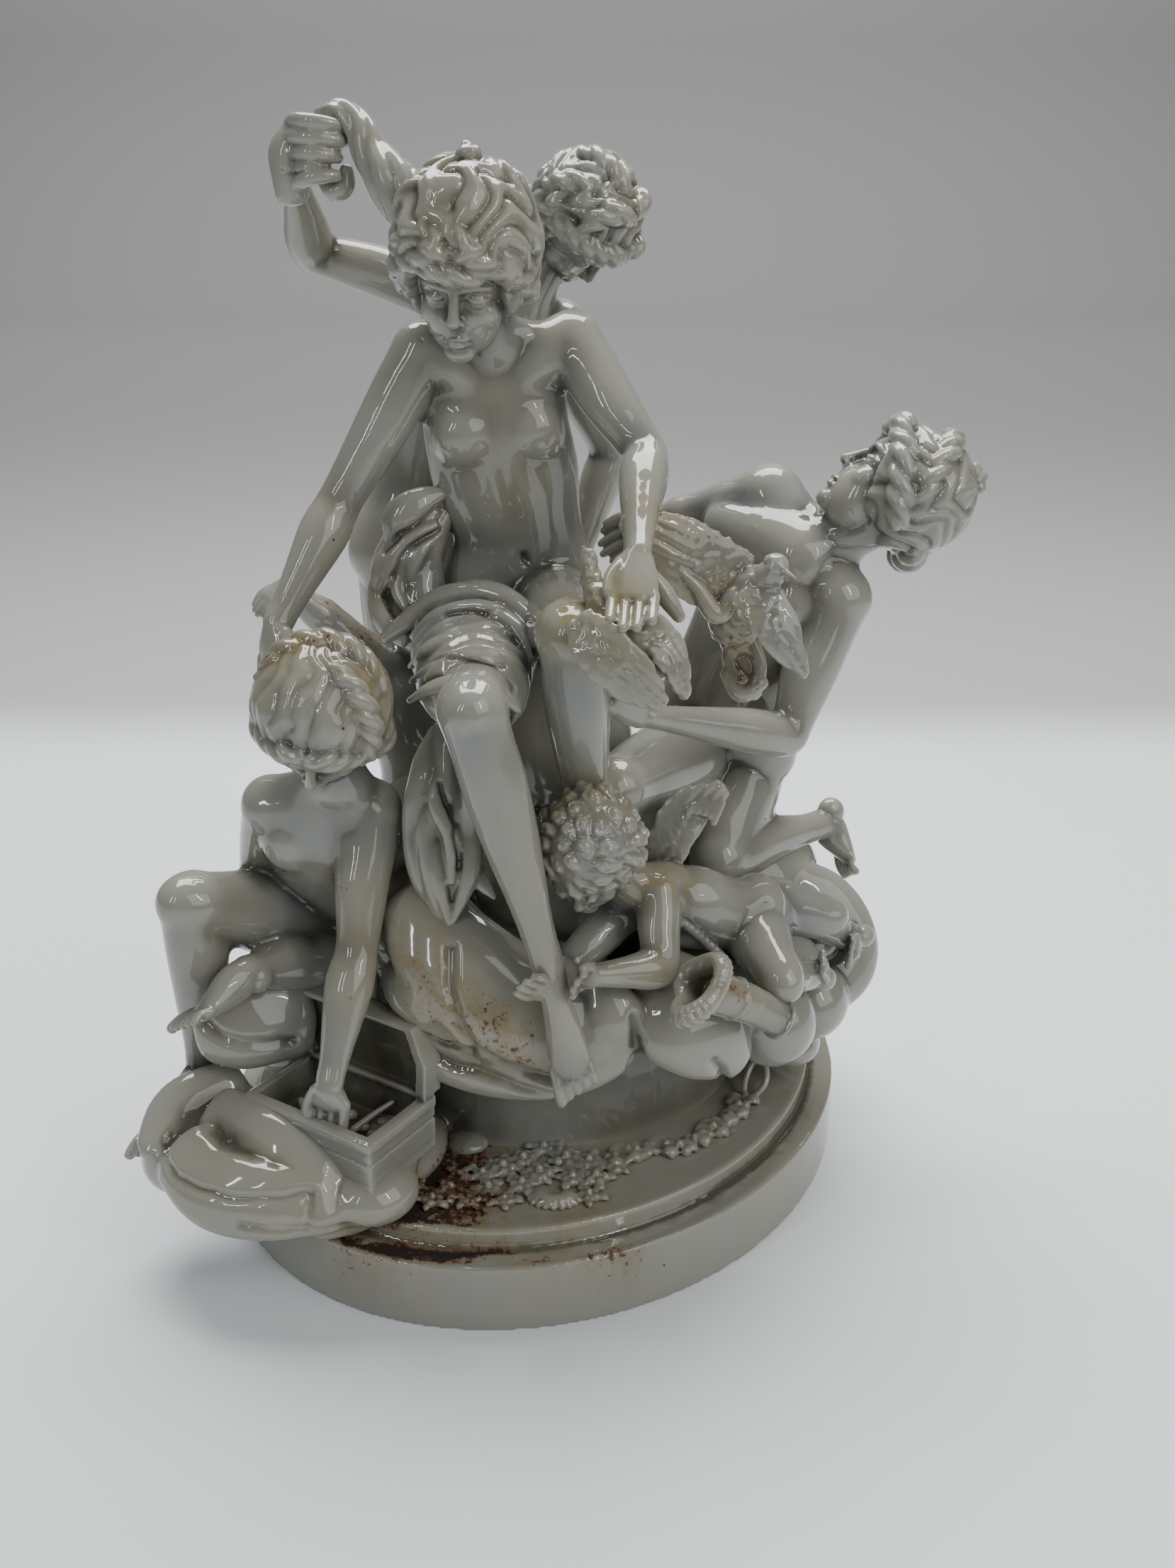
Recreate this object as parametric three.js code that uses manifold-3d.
// White glazed porcelain group on a stepped oval plinth: a seated woman on
// clouds, three attendants, a winged child, a half-hidden child, two doves
// and an open casket, fired as one piece.
// Millimetres, +Z up, the front looks along -Y, origin under the plinth.
import * as THREE from 'three';
import { mergeVertices } from 'three/addons/utils/BufferGeometryUtils.js';
import Module from 'manifold-3d';

const wasm = await Module();
wasm.setup();
const { Manifold, Mesh } = wasm;

// Plinth: an oval of two steps, its long axis turned in plan.
const plinth = {
  halfLength: 110, halfWidth: 97, turn: THREE.MathUtils.degToRad(55), lowerStep: 22, upperStep: 6.5,
  inset: 8.7, rounding: 1.6, sides: 56,
};
const plinthTop = plinth.lowerStep + plinth.upperStep;

// Half widths of the grown figures and of the children.
const adult = {
  head: 17.4, neck: 8, chestWidth: 21.5, chestDepth: 14.5, waistWidth: 20, waistDepth: 13,
  hipWidth: 26, hipDepth: 18, shoulder: 9.4, upperArm: 8.4, elbow: 6.6, foreArm: 7.1, wrist: 4.4,
  thigh: 14.6, knee: 10, calf: 9.2, ankle: 4.9, foot: 6.2, toe: 1.35, finger: 1.7, fingerLength: 13,
  palm: 6.6,
};
const child = {
  head: 15, neck: 6.8, chestWidth: 13.5, chestDepth: 11, waistWidth: 13, waistDepth: 11.5,
  hipWidth: 15, hipDepth: 12.5, shoulder: 6.8, upperArm: 6.5, elbow: 5.6, foreArm: 5.8, wrist: 4.4,
  thigh: 9.8, knee: 7.6, calf: 6.6, ankle: 4.8, foot: 4.4, toe: 1.1, finger: 1.25, fingerLength: 6.5,
  palm: 4.6,
};

// Poses: the joints of every figure, R and L its own right and left.
const seatedWoman = {
  size: adult,
  pelvis: [-4, 8, 180], waist: [-5, 5, 208], chest: [-10, 0, 238], neck: [-11, -6, 265],
  head: [-16.3, -18, 283.6], crown: [-15.9, -23.7, 300.5], face: [-19.1, -34.7, 278.1],
  shoulderR: [-30, -6, 261], elbowR: [-55, -18, 220], wristR: [-71, -38, 190], handR: [-71, -46, 168],
  shoulderL: [12, 0, 263], elbowL: [33, -20, 235], wristL: [29.5, -58, 215], handL: [27, -80, 199],
  hipR: [-15, 2, 176], kneeR: [-14, -74, 178], ankleR: [6, -80, 103], toeR: [14.5, -91, 67],
  hipL: [7, 8, 180], kneeL: [12, -64, 196], ankleL: [18, -42, 118], toeL: [22, -50, 92],
};
const standingMaid = {
  size: { ...adult, head: 15.4, neck: 7.4 },
  pelvis: [-36, 42, 188], waist: [-32, 42, 216], chest: [-20, 40, 248], neck: [-2, 37, 272],
  head: [14.6, 31, 294], crown: [26.5, 21.6, 301.6], face: [22.2, 28.5, 279],
  shoulderR: [-24, 37, 272], elbowR: [-66, 29, 286], wristR: [-65, 6, 307], handR: [-57, 2, 321],
  shoulderL: [8, 46, 262], elbowL: [24, 62, 220], wristL: [12, 56, 182], handL: [0, 50, 168],
  hipR: [-43, 40, 184], kneeR: [-40, 28, 130], ankleR: [-40, 38, 78], toeR: [-44, 10, 68],
  hipL: [-22, 44, 184], kneeL: [-8, 52, 128], ankleL: [2, 64, 78], toeL: [8, 84, 70],
};
const doveNymph = {
  size: { ...adult, neck: 9.6, shoulder: 11, upperArm: 9.2 },
  pelvis: [60, 18, 134], waist: [63, 14, 160], chest: [76, 9, 190], neck: [90, 6, 204],
  head: [108.5, 2, 219.5], crown: [122.6, 4.8, 228.9], face: [98.7, 5.6, 233.1],
  shoulderR: [73, 20, 214], elbowR: [51, 34, 207], wristR: [36, 44, 200], handR: [22, 48, 192],
  shoulderL: [92, -2, 188], elbowL: [77, -18, 149], wristL: [32, -47, 167], handL: [18, -60, 186],
  hipR: [53, 14, 132], kneeR: [24, -38, 141], ankleR: [34, 4, 100], toeR: [38, 30, 94],
  hipL: [67, 15, 127], kneeL: [57, -18, 107], ankleL: [96, 20, 104], toeL: [102, 18, 82],
};
const casketNymph = {
  size: adult,
  pelvis: [-55, -8, 78], waist: [-56, -26, 103], chest: [-59, -42, 129], neck: [-54, -52, 150],
  head: [-55.5, -63, 172], crown: [-54, -76, 183.5], face: [-58, -74.5, 159.3],
  shoulderR: [-75, -44, 138], elbowR: [-85, -26, 107], wristR: [-82, -14, 84], handR: [-76, -6, 72],
  shoulderL: [-46, -47, 138], elbowL: [-50, -64, 100], wristL: [-57, -84, 68], handL: [-58, -84, 55],
  hipR: [-61, -14, 82], kneeR: [-99, -56, 113], ankleR: [-102, -50, 53], toeR: [-116, -79, 45],
  hipL: [-50, -6, 76], kneeL: [-68, -42, 84], ankleL: [-84, -60, 92], toeL: [-103, -75, 87],
};
const wingedChild = {
  size: child,
  pelvis: [67, -34, 97], waist: [54, -41, 102], chest: [40, -46, 108], neck: [28, -53, 117],
  head: [17, -62, 131.5], crown: [15.6, -71.4, 143.3], face: [13.3, -73.6, 122.6],
  shoulderR: [25, -48, 104], elbowR: [9, -62, 92], wristR: [4, -82, 99], handR: [0, -88, 102],
  shoulderL: [37, -54, 115], elbowL: [38, -68, 97], wristL: [18, -80, 102], handL: [11, -86, 104],
  hipR: [70, -26, 96], kneeR: [92, -22, 90], ankleR: [100, -16, 80], toeR: [94, -26, 80],
  hipL: [67, -40, 96], kneeL: [73, -62, 90], ankleL: [84, -44, 82], toeL: [82, -48, 90],
};
const hiddenChild = {
  size: child,
  pelvis: [-36, 6, 126], waist: [-38, 4, 138], chest: [-41, 2, 154], neck: [-37, 6, 168],
  head: [-26, 12, 178], crown: [-18, 18, 188], face: [-36, 2, 176],
  shoulderR: [-48, 1, 166], elbowR: [-62, 1, 180], wristR: [-75, -2, 191], handR: [-85, -8, 187],
};

// Casket: a box with an open lid, its long edge turned in plan.
const casket = {
  centre: [-56.5, -72.5], turn: THREE.MathUtils.degToRad(-32.5), length: 46, width: 28, base: 38,
  floor: 44, rim: 58, wall: 2.4, moulding: 1.1, band: 3, lidHeight: 25, lidThick: 4.5,
};

// Clouds and the rock below them: centre, half sizes.
const puffs = [
  [[-104, -70, 34], [13, 15, 13]], [[-86, -84, 34], [18, 15, 11]], [[-64, -90, 34], [17, 13, 9]],
  [[-46, -88, 36], [14, 13, 10]], [[-33, -76, 42], [12, 14, 10]], [[-88, -66, 42], [18, 18, 10]],
  [[-60, -60, 34], [34, 30, 12]], [[-64, -14, 52], [36, 30, 24]], [[-36, -38, 97], [18, 22, 21]],
  [[-8, -50, 78], [38, 26, 17]], [[-24, -52, 84], [22, 22, 20]], [[46, -58, 74], [17, 16, 13]],
  [[73, -44, 66], [14, 15, 14]], [[90, 0, 68], [14, 22, 24]], [[88, -20, 60], [13, 15, 13]],
  [[60, -28, 78], [30, 20, 15]], [[60, 14, 90], [34, 30, 22]], [[0, 16, 130], [32, 28, 38]],
  [[0, 2, 92], [50, 42, 32]], [[-36, 30, 82], [30, 30, 30]], [[30, 44, 78], [36, 28, 28]],
  [[-34, 6, 118], [17, 18, 24]], [[-66, 30, 60], [26, 26, 20]], [[4, 68, 58], [28, 22, 18]],
  [[-32, 60, 56], [24, 22, 18]], [[58, 54, 60], [26, 24, 19]], [[82, 30, 66], [20, 20, 18]],
];
// Tongues of cloud that curl over one another: path and half widths.
const tongues = [
  { path: [[-33, -52, 112], [-24, -62, 99], [-8, -68, 87], [11, -70, 79], [26, -68, 79]],
    radius: [9, 12, 13, 11, 7] },
  { path: [[-44, -48, 82], [-33, -60, 74], [-14, -68, 69], [9, -71, 69], [27, -68, 72]],
    radius: [7, 8.5, 9, 8.5, 6] },
  { path: [[20, -66, 92], [24, -71, 83], [25, -71, 74]], radius: [5, 6.5, 5] },
  { path: [[27, -60, 83], [41, -68, 79], [53, -67, 72], [61, -62, 63]], radius: [8, 9.5, 9, 5.5] },
  { path: [[57, -44, 82], [68, -48, 73], [74, -49, 61]], radius: [9, 9.5, 7] },
  { path: [[77, -2, 92], [90, -4, 82], [96, -10, 70], [90, -20, 61]], radius: [8, 12, 12, 8] },
  { path: [[-101, -82, 44], [-89, -92, 39], [-72, -97, 38], [-58, -96, 38]], radius: [8, 9, 8, 6] },
  { path: [[-93, -72, 49], [-76, -84, 46], [-62, -92, 40], [-54, -94, 32]], radius: [8, 9, 8, 5] },
  { path: [[-31, -72, 44], [-36, -84, 38], [-46, -90, 33], [-62, -92, 30]], radius: [8, 8.5, 8.5, 6] },
  { path: [[-97, -56, 71], [-86, -57, 73], [-70, -52, 72]], radius: [8.5, 10.5, 9] },
];
const rock = { foot: [72, 62], top: [62, 56], height: 46 };

// Cloth: guide points of the first and last fold of each fall.
const thighWrap = { folds: 7, from: 0.3, to: 0.86, radius: [17.2, 13.4], thick: 2.9, trail: 12 };
const hipFall = {
  first: [[-24, 8, 219], [-38, 4, 212], [-46, -2, 196], [-42, -18, 184]],
  last: [[-20, 4, 204], [-27, 2, 200], [-33, -4, 190], [-30, -18, 182]],
  folds: 5, thick: 3.6,
};
const kneeFall = {
  first: [[-25, -46, 172], [-30, -52, 150], [-28, -56, 126], [-20, -56, 104]],
  last: [[-8, -40, 170], [-13, -42, 148], [-13, -46, 128], [-12, -48, 112]],
  folds: 5, thick: 3.6,
};
// Skirt of the maid, from the waist to the clouds.
const skirt = {
  path: [[-33, 42, 208], [-33, 42, 190], [-30, 44, 150], [-24, 48, 105], [-19, 52, 76]],
  radius: [[19, 14], [25, 17], [26, 19], [27, 22], [32, 26]],
};
const hank = [
  [-27, -8, 292], [-32, -9, 300], [-37, -8, 307], [-42, -5, 313], [-45, -3, 319], [-50, -1, 323], [-56, 1, 320],
];
const hankRadius = [6.5, 7.5, 7, 5.4, 4.6, 4.2, 3];

// Doves: body, head, tail, and the spread wings from root to tip.
const breastDove = {
  body: [61, -38, 197], half: [8, 8, 13], up: [0.3, 0, 1], head: [66, -43, 208], tail: [60, -39, 177],
  wings: [
    { path: [[60, -40, 200], [48, -42, 206], [34, -44, 216], [25, -45, 222]], chord: [9.5, 11, 8, 3.5] },
    { path: [[60, -45, 203], [66, -49, 197], [71, -51, 189], [77, -50, 179]], chord: [6, 6.5, 5, 2] },
  ],
};
const lapDove = {
  body: [25, -68, 198], half: [8, 8, 14], up: [0.8, -0.3, -0.6], head: [17, -62, 210], tail: [37, -70, 186],
  wings: [
    { path: [[9, -76, 203], [17, -80, 198], [28, -81, 189], [37, -77, 179]], chord: [6, 8.5, 8, 4] },
    { path: [[32, -70, 200], [38, -73, 193], [41, -74, 186], [43, -74, 178]], chord: [6, 6, 5, 2] },
  ],
};
const childWing = {
  path: [[37, -46, 116], [41, -43, 128], [47, -40, 138], [54, -40, 143]], chord: [6, 8.5, 8, 4],
};
const quiver = {
  path: [[44, -76, 98], [50, -75, 95], [60, -71, 88], [72, -65, 79]], radius: [8.4, 8.6, 8, 8.8], bore: 5.6,
};

// Relief on the plinth: flowers, a shell-like boss and a leafy spray.
const flowers = [[-24, -88, 5.2], [-12, -90, 6], [2, -92, 4.6], [22, -84, 7], [12, -78, 5], [34, -78, 4.6]];
const spray = { from: [38, -76], to: [70, -54], leaves: 7, length: 8, width: 3.2 };
const boss = { centre: [-17, -71], half: [7, 7, 4.5] };

function vec(p) {
  return p.isVector3 ? p.clone() : new THREE.Vector3(p[0], p[1], p[2]);
}

function mix(p, q, t) {
  return vec(p).lerp(vec(q), t);
}

// Part of a direction square to another one.
function squareTo(direction, along) {
  const flat = vec(direction);
  return flat.addScaledVector(along, -flat.dot(along)).normalize();
}

function toManifold(geometry) {
  geometry.deleteAttribute('normal');
  geometry.deleteAttribute('uv');
  const merged = mergeVertices(geometry);
  return new Manifold(new Mesh({
    numProp: 3,
    vertProperties: new Float32Array(merged.attributes.position.array),
    triVerts: new Uint32Array(merged.index.array),
  }));
}

// Closed skin over a row of rings, with a pole point at each end.
function skin(rings, firstPole, lastPole) {
  const n = rings[0].length;
  const points = rings.flat().concat([firstPole, lastPole]);
  const first = points.length - 2;
  const last = points.length - 1;
  const faces = [];
  for (let i = 0; i < n; i += 1) {
    const j = (i + 1) % n;
    const top = (rings.length - 1) * n;
    faces.push([first, j, i], [last, top + i, top + j]);
    for (let k = 0; k < rings.length - 1; k += 1) {
      const a = k * n;
      faces.push([a + i, a + j, a + n + j], [a + i, a + n + j, a + n + i]);
    }
  }
  let volume = 0;
  for (const [a, b, c] of faces) {
    volume += points[a].dot(new THREE.Vector3().crossVectors(points[b], points[c]));
  }
  const outward = volume < 0 ? faces.map(([a, b, c]) => [a, c, b]) : faces;
  const geometry = new THREE.BufferGeometry().setFromPoints(points);
  geometry.setIndex(outward.flat());
  return toManifold(geometry);
}

function ringAt(centre, across, through, halfAcross, halfThrough, sides) {
  const ring = [];
  for (let k = 0; k < sides; k += 1) {
    const angle = ((k + 0.5) / sides) * Math.PI * 2;
    ring.push(centre.clone().addScaledVector(across, halfAcross * Math.cos(angle))
      .addScaledVector(through, halfThrough * Math.sin(angle)));
  }
  return ring;
}

// Tube along a row of points; a radius is one number or [across, through].
function tube(path, radii, sides, across) {
  const points = path.map(vec);
  const last = points.length - 1;
  const endBulge = 0.7;
  const rings = [];
  let side = across ? vec(across) : new THREE.Vector3(0.31, 0.83, 0.46);
  points.forEach((p, i) => {
    const along = points[Math.min(i + 1, last)].clone().sub(points[Math.max(i - 1, 0)]).normalize();
    const flat = squareTo(side, along);
    if (!across) side = flat;
    const [a, b] = [radii[i]].flat().length === 2 ? radii[i] : [radii[i], radii[i]];
    rings.push(ringAt(p, flat, new THREE.Vector3().crossVectors(along, flat), a, b, sides));
  });
  const bulge = (i) => Math.min(...[radii[i]].flat()) * endBulge;
  const start = points[0].clone().add(points[0].clone().sub(points[1]).setLength(bulge(0)));
  const end = points[last].clone().add(points[last].clone().sub(points[last - 1]).setLength(bulge(last)));
  return skin(rings, start, end);
}

// Ellipsoid whose long axes follow up and across.
function ball(centre, half, sides, rows, up = [0, 0, 1], across = [1, 0, 0]) {
  const z = vec(up).normalize();
  const x = squareTo(across, z);
  const y = new THREE.Vector3().crossVectors(z, x);
  const geometry = new THREE.SphereGeometry(1, sides, rows);
  geometry.rotateX(Math.PI / 2);
  geometry.scale(half[0], half[1], half[2]);
  geometry.applyMatrix4(new THREE.Matrix4().makeBasis(x, y, z).setPosition(vec(centre)));
  return toManifold(geometry);
}

function limb(a, b, start, swell, end, swellAt, sides) {
  const stops = [0, swellAt, (1 + swellAt) / 2, 1];
  return tube(stops.map((t) => mix(a, b, t)), [start, swell, (swell + end) / 2, end], sides);
}

function hand(size, wrist, tip, spread, curl, thumbSide) {
  const along = vec(tip).sub(vec(wrist)).normalize();
  const across = squareTo(spread, along);
  const inward = new THREE.Vector3().crossVectors(along, across);
  const palmThick = size.palm * 0.45;
  const fingers = 4;
  const parts = [tube(
    [vec(wrist), mix(wrist, tip, 0.3), mix(wrist, tip, 0.52)],
    [[size.wrist, size.wrist * 0.8], [size.palm, palmThick], [size.palm, palmThick]], 8, across,
  )];
  for (let k = 0; k < fingers; k += 1) {
    const place = (k - (fingers - 1) / 2) * size.palm * 0.46;
    const root = mix(wrist, tip, 0.48).addScaledVector(across, place);
    const length = size.fingerLength * (k === 0 || k === fingers - 1 ? 0.84 : 1);
    const knuckle = root.clone().addScaledVector(along, length * 0.55).addScaledVector(inward, curl * 0.25);
    const end = root.clone().addScaledVector(along, length).addScaledVector(inward, curl);
    parts.push(tube([root, knuckle, end], [size.finger, size.finger, size.finger * 0.8], 5));
  }
  const thumbRoot = mix(wrist, tip, 0.18).addScaledVector(across, thumbSide * size.palm * 0.6);
  const thumbEnd = mix(wrist, tip, 0.55).addScaledVector(across, thumbSide * size.palm * 1.35);
  parts.push(tube([thumbRoot, thumbEnd], [size.finger * 1.3, size.finger], 5));
  return parts;
}

function foot(size, ankle, tip, sole) {
  const along = vec(tip).sub(vec(ankle)).normalize();
  const down = squareTo(sole, along);
  const across = new THREE.Vector3().crossVectors(along, down);
  const heel = vec(ankle).addScaledVector(down, size.ankle).addScaledVector(along, -size.ankle * 0.5);
  const arch = mix(ankle, tip, 0.45).addScaledVector(down, size.ankle * 0.4);
  const tread = mix(ankle, tip, 0.78).addScaledVector(down, size.ankle * 0.35);
  const parts = [tube(
    [heel, mix(ankle, tip, 0.18).addScaledVector(down, size.ankle * 0.3), arch, tread],
    [[size.ankle, size.ankle * 0.9], [size.ankle, size.ankle * 1.15], [size.foot * 0.85, size.foot * 0.8],
      [size.foot, size.foot * 0.5]], 8, across,
  )];
  const toes = 5;
  for (let k = 0; k < toes; k += 1) {
    const root = tread.clone().addScaledVector(across, (k - (toes - 1) / 2) * size.foot * 0.4);
    const reach = size.toe * (6.2 - k * 0.5);
    const thick = size.toe * (k === 0 ? 1.5 : 1.15);
    parts.push(tube([root, root.clone().addScaledVector(along, reach)], [thick, thick * 0.85], 5));
  }
  return parts;
}

function headFrame(pose) {
  const up = vec(pose.crown).sub(vec(pose.head)).normalize();
  const ahead = squareTo(vec(pose.face).sub(vec(pose.head)), up);
  const side = new THREE.Vector3().crossVectors(ahead, up);
  const r = pose.size.head;
  const at = (s, a, u) => vec(pose.head).addScaledVector(side, s * r).addScaledVector(ahead, a * r)
    .addScaledVector(up, u * r);
  return { up, ahead, side, r, at };
}

function head(pose) {
  const { up, side, r, at } = headFrame(pose);
  const throat = at(0, -0.12, -0.35);
  return [
    ball(at(0, -0.08, 0.15), [r * 0.88, r * 1.02, r * 0.95], 14, 10, up, side),
    ball(at(0, 0.3, -0.42), [r * 0.64, r * 0.62, r * 0.84], 12, 8, up, side),
    tube([at(0, 0.84, 0.14), at(0, 1.04, -0.34), at(0, 0.82, -0.46)], [r * 0.08, r * 0.15, r * 0.1], 6, side),
    tube([at(-0.22, 0.78, -0.66), at(0, 0.9, -0.65), at(0.22, 0.78, -0.66)],
      [r * 0.06, r * 0.11, r * 0.06], 5),
    ball(at(-0.88, -0.05, -0.12), [r * 0.08, r * 0.15, r * 0.24], 6, 5, up, side),
    ball(at(0.88, -0.05, -0.12), [r * 0.08, r * 0.15, r * 0.24], 6, 5, up, side),
    tube([vec(pose.neck), mix(pose.neck, throat, 0.5), throat],
      [pose.size.neck * 1.12, pose.size.neck * 0.95, pose.size.neck], 10),
  ];
}

// Hair drawn back in waving locks from the brow to the nape, with rolls on it.
function combedHair(pose, locks, rolls) {
  const { up, side, r, at } = headFrame(pose);
  const parts = [ball(at(0, -0.2, 0.26), [r * 0.98, r * 1.02, r * 0.96], 12, 9, up, side)];
  const stops = 6;
  for (let k = 0; k < locks; k += 1) {
    const lean = (k / (locks - 1) * 2 - 1) * 1.3;
    const path = [];
    const radii = [];
    for (let j = 0; j < stops; j += 1) {
      const t = j / (stops - 1);
      const turn = 0.95 - t * 2.9;
      const out = 1.08 + Math.sin(t * 9 + k * 1.7) * 0.05;
      path.push(at(Math.sin(lean) * out, Math.cos(lean) * Math.sin(turn) * out - 0.12,
        0.16 + Math.cos(lean) * Math.cos(turn) * out));
      radii.push(r * (0.13 + 0.1 * Math.sin(Math.PI * t)));
    }
    parts.push(tube(path, radii, 6));
  }
  for (const [s, a, u, size] of rolls) {
    parts.push(ball(at(s, a, u), [r * size, r * size, r * size * 0.8], 9, 7));
  }
  return parts;
}

// Curls on a golden-angle spiral round the skull, clear of the face.
function curlyHair(pose, curls, curlSize) {
  const { up, side, r, at } = headFrame(pose);
  const parts = [ball(at(0, -0.16, 0.24), [r * 0.98, r * 1.02, r * 0.96], 12, 9, up, side)];
  const goldenAngle = Math.PI * (3 - Math.sqrt(5));
  for (let k = 0; k < curls; k += 1) {
    const u = 1 - (k + 0.5) / curls * 1.5;
    const flat = Math.sqrt(1 - u * u);
    const turn = k * goldenAngle;
    const ahead = Math.cos(turn) * flat;
    if (ahead < 0.4 || u > 0.5) {
      const place = at(Math.sin(turn) * flat, ahead - 0.1, u * 1.02 + 0.2);
      const half = [r * curlSize, r * curlSize, r * curlSize * 0.85];
      parts.push(ball(place, half, 7, 5, vec(place).sub(at(0, 0, 0)), up));
    }
  }
  return parts;
}

function acrossBody(pose) {
  const hips = vec(pose.hipL ?? pose.pelvis).sub(vec(pose.hipR ?? pose.pelvis));
  const chest = vec(pose.shoulderL ?? pose.chest).sub(vec(pose.shoulderR));
  return hips.normalize().add(chest.normalize());
}

function torso(pose) {
  const s = pose.size;
  const between = (from, to, t) => mix(pose[from], pose[to], t);
  const path = [
    between('pelvis', 'waist', -0.5), vec(pose.pelvis), between('pelvis', 'waist', 0.5), vec(pose.waist),
    between('waist', 'chest', 0.5), vec(pose.chest), between('chest', 'neck', 0.42),
    between('chest', 'neck', 0.75), vec(pose.neck),
  ];
  const radii = [
    [s.hipWidth * 0.6, s.hipDepth * 0.7], [s.hipWidth, s.hipDepth], [s.hipWidth * 0.93, s.hipDepth * 0.86],
    [s.waistWidth, s.waistDepth], [s.waistWidth * 1.08, s.waistDepth * 1.05],
    [s.chestWidth, s.chestDepth], [s.chestWidth * 0.98, s.chestDepth * 0.82],
    [s.chestWidth * 0.72, s.chestDepth * 0.6], [s.neck * 1.1, s.neck],
  ];
  return tube(path, radii, 16, acrossBody(pose));
}

function breasts(pose) {
  const s = pose.size;
  const across = vec(pose.shoulderL).sub(vec(pose.shoulderR)).normalize();
  const up = vec(pose.neck).sub(vec(pose.chest)).normalize();
  const out = new THREE.Vector3().crossVectors(across, up).normalize();
  const half = s.chestWidth * 0.38;
  return [-1, 1].map((way) => {
    const centre = vec(pose.chest).addScaledVector(across, way * s.chestWidth * 0.47);
    return ball(centre.addScaledVector(out, s.chestDepth * 0.6), [half, half, half], 10, 8);
  });
}

function arm(pose, side) {
  const s = pose.size;
  const [shoulder, elbow, wrist] = ['shoulder', 'elbow', 'wrist'].map((name) => pose[name + side]);
  return [
    ball(shoulder, [s.shoulder, s.shoulder, s.shoulder], 10, 8),
    limb(shoulder, elbow, s.shoulder * 0.9, s.upperArm, s.elbow, 0.35, 10),
    ball(elbow, [s.elbow, s.elbow, s.elbow], 8, 6),
    limb(elbow, wrist, s.elbow, s.foreArm, s.wrist, 0.28, 10),
  ];
}

function leg(pose, side) {
  const s = pose.size;
  const [hip, knee, ankle] = ['hip', 'knee', 'ankle'].map((name) => pose[name + side]);
  return [
    ball(hip, [s.thigh, s.thigh, s.thigh], 10, 8),
    limb(hip, knee, s.thigh * 0.95, s.thigh * 0.95, s.knee, 0.3, 12),
    ball(knee, [s.knee, s.knee, s.knee], 10, 8),
    limb(knee, ankle, s.knee, s.calf, s.ankle, 0.3, 10),
    ball(ankle, [s.ankle, s.ankle, s.ankle], 8, 6),
  ];
}

// Folds swept between two guide curves, one beside the other.
function folds({ first, last, folds: count, thick }) {
  const stops = 7;
  const [a, b] = [first, last].map((guide) => new THREE.CatmullRomCurve3(guide.map(vec)));
  return Array.from({ length: count }, (_, k) => {
    const path = [];
    const radii = [];
    for (let j = 0; j <= stops; j += 1) {
      const t = j / stops;
      path.push(a.getPoint(t).lerp(b.getPoint(t), k / (count - 1)));
      radii.push(thick * (0.55 + 0.45 * Math.sin(Math.PI * (0.12 + 0.76 * t))));
    }
    return tube(path, radii, 6);
  });
}

// Cloth wound over the right thigh in rings that trail towards the knee.
function wrappedThigh(pose) {
  const axis = vec(pose.kneeR).sub(vec(pose.hipR)).normalize();
  const over = squareTo([0, 0, 1], axis);
  const side = new THREE.Vector3().crossVectors(over, axis);
  const w = thighWrap;
  const stops = 8;
  const parts = [];
  for (let k = 0; k < w.folds; k += 1) {
    const share = k / (w.folds - 1);
    const centre = mix(pose.hipR, pose.kneeR, THREE.MathUtils.lerp(w.from, w.to, share));
    const radius = THREE.MathUtils.lerp(w.radius[0], w.radius[1], share);
    const path = [];
    for (let j = 0; j <= stops; j += 1) {
      const turn = THREE.MathUtils.lerp(-2, 1.35, j / stops);
      path.push(centre.clone().addScaledVector(side, -radius * Math.sin(turn))
        .addScaledVector(over, radius * Math.cos(turn)).addScaledVector(axis, w.trail * (j / stops - 0.5)));
    }
    parts.push(tube(path, path.map(() => w.thick), 6));
  }
  parts.push(tube([mix(pose.hipR, pose.kneeR, 0.15), mix(pose.hipR, pose.kneeR, 0.88)], w.radius, 12));
  return parts;
}

function woman(pose) {
  const parts = [torso(pose), ...breasts(pose), ...head(pose)];
  for (const side of ['R', 'L']) {
    parts.push(...arm(pose, side), ...leg(pose, side));
  }
  return parts;
}

function seatedWomanParts() {
  const p = seatedWoman;
  return [
    ...woman(p),
    ...combedHair(p, 8, [
      [0.15, 0.55, 1.05, 0.3], [-0.25, 0.35, 1.15, 0.3], [0.85, 0.5, 0.2, 0.26], [-0.8, 0.4, 0.4, 0.26],
    ]),
    tube(hank, hankRadius, 9),
    ...hand(adult, p.wristR, p.handR, [0.8, -0.6, 0], 2, 1),
    ...hand(adult, p.wristL, p.handL, [1, 0.2, 0], 2, -1),
    ...foot(adult, p.ankleR, p.toeR, [0, 1, -0.5]),
    ...foot(adult, p.ankleL, p.toeL, [0, 1, -0.5]),
    ...wrappedThigh(p), ...folds(hipFall), ...folds(kneeFall),
  ];
}

function standingMaidParts() {
  const p = standingMaid;
  return [
    ...woman(p), ...curlyHair(p, 26, 0.36),
    ...hand(adult, p.wristR, p.handR, [0.2, -0.3, 1], -9, -1),
    ...hand(adult, p.wristL, p.handL, [1, 0, 0], 2, 1),
    ...foot(adult, p.ankleR, p.toeR, [0, 0, -1]),
    ...foot(adult, p.ankleL, p.toeL, [0, 0, -1]),
    tube(skirt.path, skirt.radius, 16, [1, 0, 0]),
  ];
}

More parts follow.
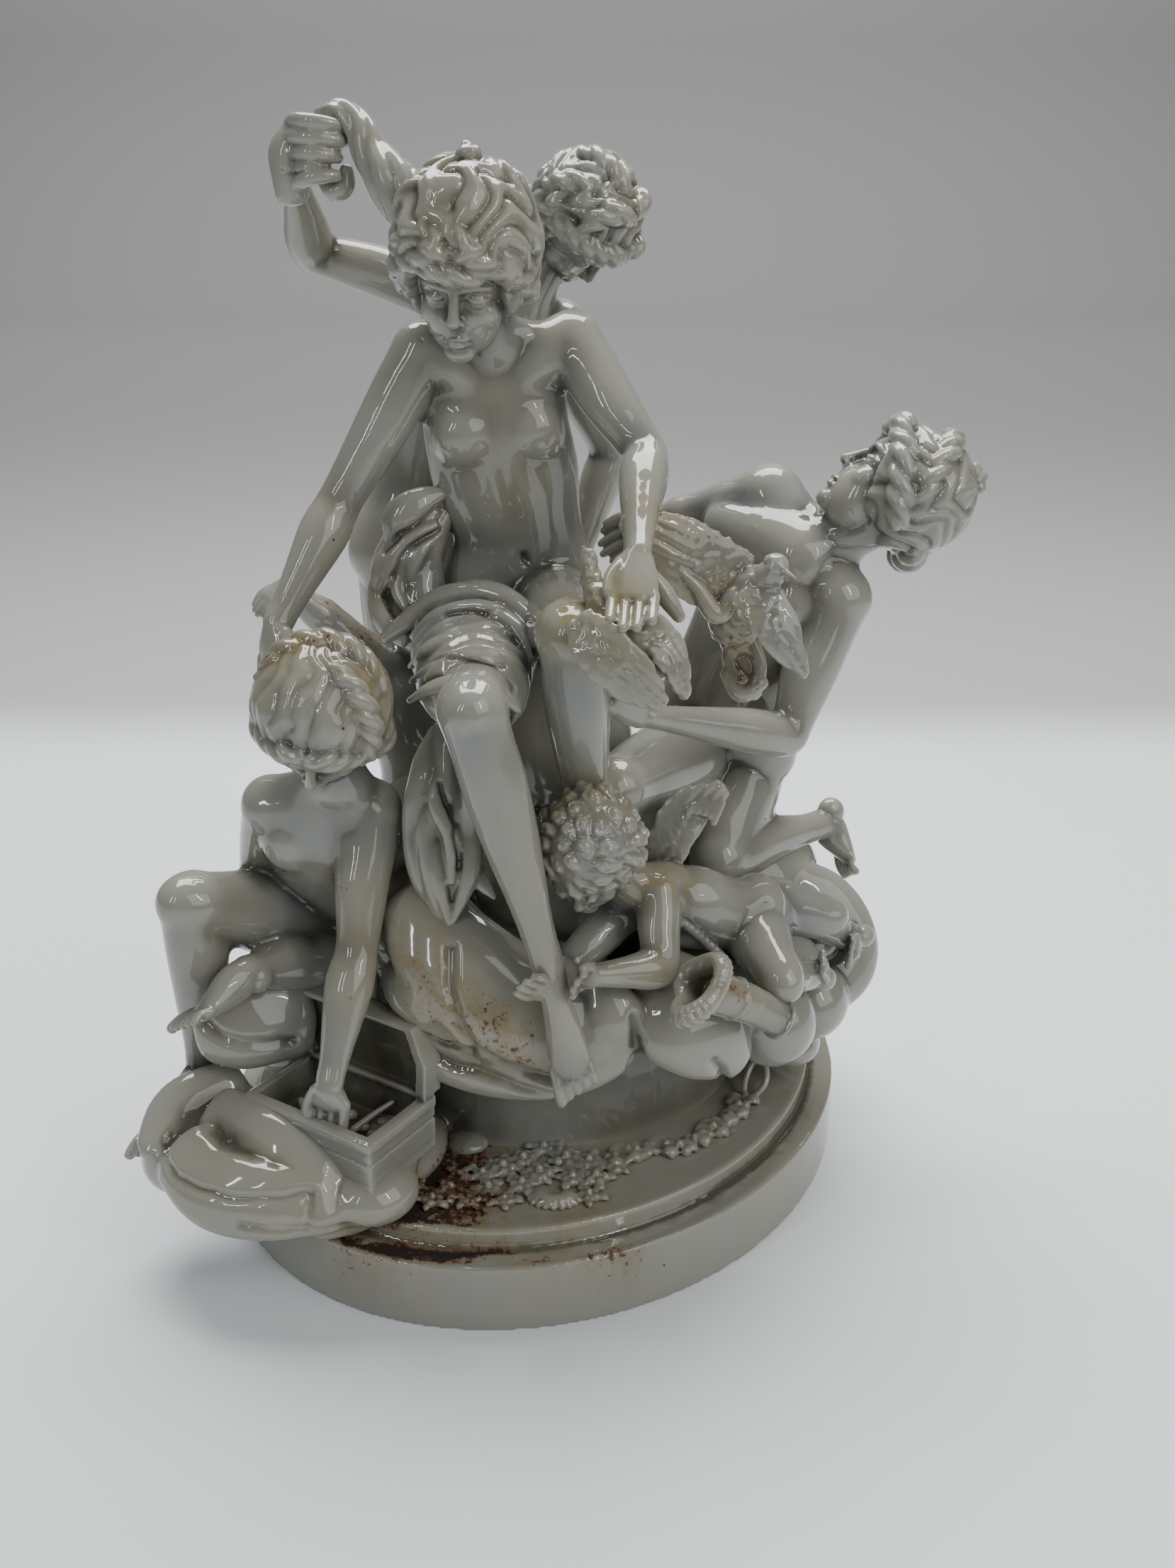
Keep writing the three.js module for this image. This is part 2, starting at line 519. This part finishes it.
function doveNymphParts() {
  const p = doveNymph;
  return [
    ...woman(p),
    ...combedHair(p, 7, [
      [-0.3, -0.2, 1.15, 0.34], [0.35, -0.1, 1.15, 0.34], [0.2, -0.95, 0.6, 0.42], [0, -1.05, 0.1, 0.36],
    ]),
    ...hand(adult, p.wristL, p.handL, [0.5, 0.5, 0.6], 3, 1),
    ...hand(adult, p.wristR, p.handR, [0, 0.4, 1], 2, 1),
    ...foot(adult, p.ankleL, p.toeL, [1, 0.3, 0]),
    ...foot(adult, p.ankleR, p.toeR, [0, 0, 1]),
  ];
}

function casketNymphParts() {
  const p = casketNymph;
  return [
    ...woman(p),
    ...combedHair(p, 8, [[0.3, -0.3, 1.1, 0.4], [0.95, -0.2, 0.1, 0.34], [0.8, -0.6, -0.3, 0.3]]),
    ...foot(adult, p.ankleR, p.toeR, [0.2, 0, -1]),
    ...foot(adult, p.ankleL, p.toeL, [0, -0.5, -0.9]),
  ];
}

// Arm and hand that reach into the casket, joined again after it is hollowed.
function reachingArmParts() {
  const p = casketNymph;
  return [...arm(p, 'L'), ...hand(adult, p.wristL, p.handL, [1, -0.4, 0], 2, -1)];
}

function wingedChildParts() {
  const p = wingedChild;
  const wing = childWing;
  return [
    torso(p), ...head(p), ...curlyHair(p, 34, 0.32),
    ...arm(p, 'R'), ...arm(p, 'L'), ...leg(p, 'R'), ...leg(p, 'L'),
    ...hand(child, p.wristL, p.handL, [0, -0.4, 1], -3, 1),
    ...hand(child, p.wristR, p.handR, [1, 0, 1], 2, 1),
    ...foot(child, p.ankleL, p.toeL, [1, 0, 0]),
    ...foot(child, p.ankleR, p.toeR, [1, 0, 0]),
    tube(wing.path, wing.chord.map((c) => [c, 2.4]), 8, [1, 0, -0.3]),
    tube(quiver.path, quiver.radius, 12),
  ];
}

function hiddenChildParts() {
  const p = hiddenChild;
  return [
    torso(p), ...head(p), ...curlyHair(p, 16, 0.4), ...arm(p, 'R'),
    ...hand(child, p.wristR, p.handR, [0.2, 0.9, 0.4], 3, 1),
  ];
}

function dove(bird) {
  const body = vec(bird.body);
  const parts = [
    ball(body, bird.half, 12, 9, bird.up),
    ball(bird.head, [5, 5, 5], 8, 6),
    tube([body, vec(bird.head)], [6.5, 4.2], 8),
    tube([body, mix(bird.body, bird.tail, 0.6), vec(bird.tail)], [[7, 5], [7, 3], [8, 1.6]], 8),
  ];
  for (const { path, chord } of bird.wings) {
    parts.push(tube(path, chord.map((c, i) => [2.4 - i * 0.3, c]), 8, [-0.1, 0.95, 0]));
  }
  return parts;
}

function box(x0, x1, y0, y1, z0, z1) {
  const geometry = new THREE.BoxGeometry(x1 - x0, y1 - y0, z1 - z0);
  geometry.translate((x0 + x1) / 2, (y0 + y1) / 2, (z0 + z1) / 2);
  geometry.rotateZ(casket.turn);
  geometry.translate(casket.centre[0], casket.centre[1], 0);
  return toManifold(geometry);
}

function casketParts() {
  const { length, width, moulding: m, base, floor, rim, band, lidHeight, lidThick } = casket;
  const [hl, hw] = [length / 2, width / 2];
  return [
    box(-hl, hl, -hw, hw, base, rim),
    box(-hl - m, hl + m, -hw - m, hw + m, rim - band, rim),
    box(-hl - m, hl + m, -hw - m, hw + m, base, floor + band),
    box(-hl, hl, hw - 1, hw + lidThick, rim - band, rim + lidHeight),
  ];
}

function casketHollows() {
  const { length, width, wall, floor, rim, lidHeight, lidThick } = casket;
  const [hl, hw] = [length / 2 - wall, width / 2 - wall];
  return [
    box(-hl, hl, -hw, hw, floor + wall, rim + 1),
    box(-hl, hl, hw, width / 2 + lidThick - wall, rim + 2, rim + lidHeight - wall),
  ];
}

function ovalStep(inset, z0, z1) {
  const { halfLength, halfWidth, turn, rounding, sides } = plinth;
  const across = new THREE.Vector3(Math.cos(turn), Math.sin(turn), 0);
  const through = new THREE.Vector3(-Math.sin(turn), Math.cos(turn), 0);
  const ring = (cut, z) => ringAt(new THREE.Vector3(0, 0, z), across, through,
    halfLength - inset - cut, halfWidth - inset - cut, sides);
  return skin([ring(0, z0), ring(0, z1 - rounding), ring(rounding, z1)],
    new THREE.Vector3(0, 0, z0), new THREE.Vector3(0, 0, z1));
}

function plinthParts() {
  return [ovalStep(0, 0, plinth.lowerStep), ovalStep(plinth.inset, plinth.lowerStep / 2, plinthTop)];
}

function cloudParts() {
  const z = plinthTop / 2;
  const ring = ([a, b], height) => ringAt(new THREE.Vector3(0, 0, height), new THREE.Vector3(1, 0, 0),
    new THREE.Vector3(0, 1, 0), a, b, 18);
  const top = plinthTop + rock.height;
  return [
    ...puffs.map(([centre, half]) => ball(centre, half, 14, 10)),
    ...tongues.map(({ path, radius }) => tube(path, radius, 12)),
    skin([
      ring(rock.foot, z), ring(rock.foot, plinthTop), ring(rock.top, plinthTop + rock.height / 3),
      ring(rock.top, top),
    ], new THREE.Vector3(0, 0, z), new THREE.Vector3(0, 0, top)),
  ];
}

// Flower: a low disc whose rim goes in and out between the petals.
function flower(x, y, radius) {
  const petals = 5;
  const up = new THREE.Vector3(0.1, -0.25, 1).normalize();
  const side = squareTo([1, 0, 0], up);
  const front = new THREE.Vector3().crossVectors(up, side);
  const centre = new THREE.Vector3(x, y, plinthTop);
  const rim = (scale, lift) => Array.from({ length: petals * 2 }, (_, i) => {
    const r = radius * scale * (i % 2 ? 0.66 : 1);
    const turn = i / petals * Math.PI;
    return centre.clone().addScaledVector(side, Math.cos(turn) * r)
      .addScaledVector(front, Math.sin(turn) * r).addScaledVector(up, lift);
  });
  return skin([rim(0.8, -radius * 0.4), rim(1, radius * 0.35)],
    centre.clone().addScaledVector(up, -radius * 0.4), centre.clone().addScaledVector(up, radius * 0.6));
}

function reliefParts() {
  const { from, to, leaves, length, width } = spray;
  const parts = flowers.map(([x, y, r]) => flower(x, y, r));
  for (let k = 0; k < leaves; k += 1) {
    const t = k / (leaves - 1);
    const x = THREE.MathUtils.lerp(from[0], to[0], t);
    const y = THREE.MathUtils.lerp(from[1], to[1], t);
    const way = k % 2 ? 1 : -1;
    const path = [
      [x - length / 2, y, plinthTop], [x, y + way, plinthTop + 1], [x + length / 2, y + 2 * way, plinthTop],
    ];
    parts.push(tube(path, [[width * 0.5, 1.4], [width, 1.8], [width * 0.4, 1]], 6, [0, 1, 0]));
  }
  parts.push(ball([...boss.centre, plinthTop], boss.half, 10, 8));
  return parts;
}

// Collapses edges, cheapest first, until few enough faces are left: the cost is
// the distance to the planes that have met in a corner, and a collapse that
// would fold a face over or pinch the skin is left out.
function simplify(mesh, faceLimit) {
  const count = mesh.vertProperties.length / 3;
  const corner = [];
  for (let i = 0; i < count; i += 1) {
    corner.push(new THREE.Vector3().fromArray(mesh.vertProperties, i * 3));
  }
  const faces = [];
  const around = corner.map(() => new Set());
  const quadric = corner.map(() => new Float64Array(10));
  const stamp = new Int32Array(count);
  const normalOf = (p, q, r) => q.clone().sub(p).cross(r.clone().sub(p));
  for (let f = 0; f < mesh.triVerts.length / 3; f += 1) {
    const face = Array.from(mesh.triVerts.slice(f * 3, f * 3 + 3));
    faces.push(face);
    const n = normalOf(...face.map((i) => corner[i]));
    const area = n.length() / 2;
    if (area > 0) n.normalize();
    const d = -n.dot(corner[face[0]]);
    const plane = [n.x, n.y, n.z, d];
    for (const i of face) {
      around[i].add(f);
      let k = 0;
      for (let r = 0; r < 4; r += 1) {
        for (let c = r; c < 4; c += 1) {
          quadric[i][k] += plane[r] * plane[c] * area;
          k += 1;
        }
      }
    }
  }
  const error = (q, p) => q[0] * p.x * p.x + 2 * q[1] * p.x * p.y + 2 * q[2] * p.x * p.z + 2 * q[3] * p.x
    + q[4] * p.y * p.y + 2 * q[5] * p.y * p.z + 2 * q[6] * p.y
    + q[7] * p.z * p.z + 2 * q[8] * p.z + q[9];
  const neighbours = (i) => {
    const found = new Set();
    for (const f of around[i]) {
      for (const j of faces[f]) {
        if (j !== i) found.add(j);
      }
    }
    return found;
  };
  const heap = [];
  const swap = (i, j) => {
    [heap[i], heap[j]] = [heap[j], heap[i]];
  };
  const push = (item) => {
    heap.push(item);
    let i = heap.length - 1;
    while (i > 0 && heap[(i - 1) >> 1].cost > heap[i].cost) {
      swap(i, (i - 1) >> 1);
      i = (i - 1) >> 1;
    }
  };
  const pop = () => {
    const item = heap[0];
    const end = heap.pop();
    if (heap.length) {
      heap[0] = end;
      let i = 0;
      for (;;) {
        let small = i;
        for (const j of [2 * i + 1, 2 * i + 2]) {
          if (j < heap.length && heap[j].cost < heap[small].cost) small = j;
        }
        if (small === i) break;
        swap(i, small);
        i = small;
      }
    }
    return item;
  };
  const lengthWeight = 1e-4;
  const offer = (a, b) => {
    const sum = quadric[a].map((v, k) => v + quadric[b][k]);
    const span = corner[a].distanceToSquared(corner[b]);
    let best = null;
    for (const t of [0, 1, 0.5]) {
      const place = corner[a].clone().lerp(corner[b], t);
      const cost = Math.max(error(sum, place), 0) + lengthWeight * span * (t === 0.5 ? 1 : 1.1);
      if (!best || cost < best.cost) best = { cost, place };
    }
    push({ a, b, cost: best.cost, place: best.place, stampA: stamp[a], stampB: stamp[b] });
  };
  const seen = new Set();
  faces.forEach((face) => {
    for (let k = 0; k < 3; k += 1) {
      const a = Math.min(face[k], face[(k + 1) % 3]);
      const b = Math.max(face[k], face[(k + 1) % 3]);
      if (!seen.has(a * count + b)) {
        seen.add(a * count + b);
        offer(a, b);
      }
    }
  });
  const sliver = 0.04;
  const folds = (a, b, place) => {
    for (const i of [a, b]) {
      for (const f of around[i]) {
        const face = faces[f];
        if (face.includes(a) && face.includes(b)) continue;
        const was = face.map((j) => corner[j]);
        const now = face.map((j) => (j === i ? place : corner[j]));
        const before = normalOf(...was);
        const after = normalOf(...now);
        const longest = Math.max(now[0].distanceToSquared(now[1]), now[1].distanceToSquared(now[2]),
          now[2].distanceToSquared(now[0]));
        if (after.length() < sliver * longest && after.length() < before.length()) return true;
        if (before.dot(after) < 0.3 * before.length() * after.length()) return true;
      }
    }
    return false;
  };
  let left = faces.length;
  while (left > faceLimit && heap.length) {
    const { a, b, place, stampA, stampB } = pop();
    if (stamp[a] !== stampA || stamp[b] !== stampB || !around[a].size || !around[b].size) continue;
    const nearA = neighbours(a);
    const nearB = neighbours(b);
    if (!nearA.has(b)) continue;
    const shared = [...nearA].filter((j) => nearB.has(j));
    if (shared.length !== 2 || folds(a, b, place)) continue;
    corner[a] = place;
    quadric[a] = quadric[a].map((v, k) => v + quadric[b][k]);
    for (const f of around[b]) {
      if (faces[f].includes(a)) {
        faces[f].forEach((j) => around[j].delete(f));
        faces[f] = null;
        left -= 1;
      } else {
        faces[f] = faces[f].map((j) => (j === b ? a : j));
        around[a].add(f);
      }
    }
    around[b].clear();
    stamp[a] += 1;
    stamp[b] += 1;
    for (const j of neighbours(a)) offer(a, j);
  }
  const index = new Map();
  const kept = [];
  const triangles = faces.filter((face) => face).map((face) => face.map((i) => {
    if (!index.has(i)) {
      index.set(i, kept.length);
      kept.push(corner[i]);
    }
    return index.get(i);
  }));
  return { kept, triangles };
}

function assemble() {
  const solids = [
    ...plinthParts(), ...cloudParts(), ...reliefParts(), ...casketParts(),
    ...seatedWomanParts(), ...standingMaidParts(), ...doveNymphParts(), ...casketNymphParts(),
    ...wingedChildParts(), ...hiddenChildParts(), ...dove(breastDove), ...dove(lapDove),
  ];
  const join = (list) => list.reduce((joined, part) => joined.add(part));
  const cut = (whole, hollow) => whole.subtract(hollow);
  const outside = mix(quiver.path[0], quiver.path[1], -2);
  const mouth = tube([outside, quiver.path[1]], [quiver.bore, quiver.bore], 10);
  const hollowed = [...casketHollows(), mouth].reduce(cut, join(solids));
  return hollowed.add(join(reachingArmParts()));
}

const faceLimit = 9800;
const { kept, triangles } = simplify(assemble().getMesh(), faceLimit);
const geometry = new THREE.BufferGeometry().setFromPoints(kept);
geometry.setIndex(triangles.flat());
const glaze = new THREE.MeshStandardMaterial({ color: 0xdedcd2, roughness: 0.16, metalness: 0 });
const figures = new THREE.Mesh(geometry, glaze);
figures.name = 'porcelain_group';
const group = new THREE.Group();
group.add(figures);

export default group;
